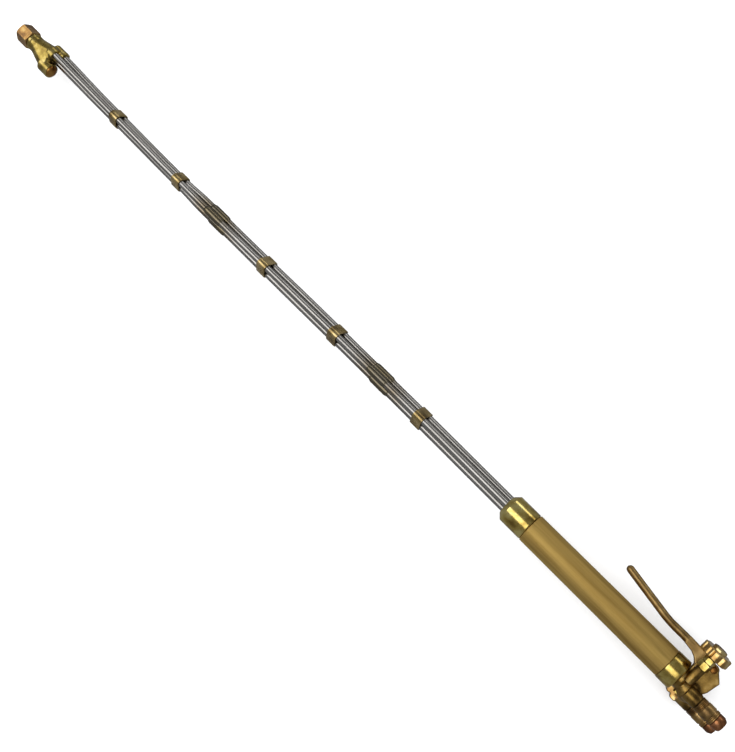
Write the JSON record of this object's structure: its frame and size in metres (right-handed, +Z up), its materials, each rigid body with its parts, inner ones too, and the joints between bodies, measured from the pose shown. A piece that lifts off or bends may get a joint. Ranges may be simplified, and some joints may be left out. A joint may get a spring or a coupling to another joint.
{
  "type": "cutting torch",
  "caption": "Long straight oxy-fuel hand cutting torch: strapped gas tubes, brass head with tip nut, barrel handle, squeeze lever, needle valves and hose inlets.",
  "frame": {"origin": "under the middle of the part's box, on the surface it lies on", "axes": "+X along the torch from the tip nut to the hose inlets, +Y to the lever side, +Z up from the surface the torch lies on"},
  "size_m": [1.113, 0.0707, 0.0741],
  "materials": {
    "polished_brass": "polished and lacquered",
    "satin_brass": "brushed along the barrel",
    "dull_brass": "machined, reddish tarnish",
    "stainless_tube": "drawn stainless tube",
    "plain_steel": "turned",
    "lever_bronze": "dark cast bronze, worn",
    "seal_rubber": "moulded"
  },
  "bodies": {
    "torch": {"head_body": "polished_brass", "head_plug": "dull_brass", "cutting_oxygen_tube_front": "stainless_tube", "cutting_oxygen_tube_middle": "stainless_tube", "cutting_oxygen_tube_rear": "stainless_tube", "preheat_oxygen_tube_front": "stainless_tube", "preheat_oxygen_tube_middle": "stainless_tube", "preheat_oxygen_tube_rear": "stainless_tube", "fuel_gas_tube_front": "stainless_tube", "fuel_gas_tube_middle": "stainless_tube", "fuel_gas_tube_rear": "stainless_tube", "cutting_oxygen_sleeve_front": "stainless_tube", "cutting_oxygen_sleeve_rear": "stainless_tube", "preheat_oxygen_sleeve_front": "stainless_tube", "preheat_oxygen_sleeve_rear": "stainless_tube", "fuel_gas_sleeve_front": "stainless_tube", "fuel_gas_sleeve_rear": "stainless_tube", "tube_band_1": "polished_brass", "tube_band_2": "polished_brass", "tube_band_3": "polished_brass", "tube_band_4": "polished_brass", "tube_band_5": "polished_brass", "handle_front_cap": "polished_brass", "handle_barrel": "satin_brass", "handle_rear_ferrule": "polished_brass", "valve_body": "polished_brass", "cutting_gland": "polished_brass", "cutting_plunger_seal": "seal_rubber", "cutting_seat": "polished_brass", "cutting_spring": "plain_steel", "cutting_bore_plug": "polished_brass", "lever_pin": "dull_brass", "lever_pin_clip": "dull_brass", "preheat_bonnet": "polished_brass", "preheat_gland_nut": "polished_brass", "preheat_packing": "seal_rubber", "fuel_bonnet": "polished_brass", "fuel_gland_nut": "polished_brass", "fuel_packing": "seal_rubber", "oxygen_check_valve": "dull_brass", "oxygen_end_nut": "dull_brass", "oxygen_check_spring": "plain_steel", "fuel_check_valve": "dull_brass", "fuel_end_nut": "dull_brass", "fuel_check_spring": "plain_steel"},
    "tip_nut": {"tip_nut": "polished_brass"},
    "lever": {"lever": "lever_bronze"},
    "cutting_plunger": {"cutting_plunger": "plain_steel", "cutting_poppet": "plain_steel"},
    "preheat_knob": {"preheat_knob": "polished_brass", "preheat_knob_screw": "plain_steel", "preheat_spindle": "plain_steel"},
    "preheat_needle": {"preheat_needle": "plain_steel"},
    "fuel_knob": {"fuel_knob": "polished_brass", "fuel_knob_screw": "plain_steel", "fuel_spindle": "plain_steel"},
    "fuel_needle": {"fuel_needle": "plain_steel"},
    "oxygen_check_poppet": {"oxygen_check_poppet": "plain_steel"},
    "fuel_check_poppet": {"fuel_check_poppet": "plain_steel"}
  },
  "joints": [
    {"name": "tip_nut_turn", "type": "hinge", "parent": "torch", "child": "tip_nut", "pos_m": [-0.54585, -0.01588, 0.043], "axis": [1, 0, 0], "continuous": true},
    {"name": "lever_pivot", "type": "hinge", "parent": "torch", "child": "lever", "pos_m": [0.518, 0.01442, 0.043], "axis": [0, 0, 1], "range_deg": [0, 8], "stiffness_Nm_per_rad": 10, "springref_deg": -5.73},
    {"name": "cutting_plunger_slide", "type": "slide", "parent": "torch", "child": "cutting_plunger", "axis": [0, -1, 0], "range_m": [0, 0.00125], "deforming": ["cutting_spring"]},
    {"name": "preheat_knob_turn", "type": "hinge", "parent": "torch", "child": "preheat_knob", "pos_m": [0.5088, -0.00648, 0.053], "axis": [0, 0.9848, 0.1736], "range_deg": [0, 540]},
    {"name": "preheat_needle_lift", "type": "slide", "parent": "torch", "child": "preheat_needle", "axis": [0, 0.9848, 0.1736], "range_m": [0, 0.00121]},
    {"name": "fuel_knob_turn", "type": "hinge", "parent": "torch", "child": "fuel_knob", "pos_m": [0.5145, -0.01798, 0.0405], "axis": [0, 0, -1], "range_deg": [0, 540]},
    {"name": "fuel_needle_lift", "type": "slide", "parent": "torch", "child": "fuel_needle", "axis": [0, 0, -1], "range_m": [0, 0.00121]},
    {"name": "oxygen_check_lift", "type": "slide", "parent": "torch", "child": "oxygen_check_poppet", "axis": [-1, 0, 0], "range_m": [0, 0.0015], "stiffness_N_per_m": 300, "springref_m": -0.001, "deforming": ["oxygen_check_spring"]},
    {"name": "fuel_check_lift", "type": "slide", "parent": "torch", "child": "fuel_check_poppet", "axis": [-1, 0, 0], "range_m": [0, 0.0015], "stiffness_N_per_m": 300, "springref_m": -0.001, "deforming": ["fuel_check_spring"]}
  ],
  "couplings": [
    {"joint": "cutting_plunger_slide", "follows": "lever_pivot", "m_per_rad": 0.0087},
    {"joint": "preheat_needle_lift", "follows": "preheat_knob_turn", "m_per_rad": 0.00012732},
    {"joint": "fuel_needle_lift", "follows": "fuel_knob_turn", "m_per_rad": 0.00012732}
  ]
}
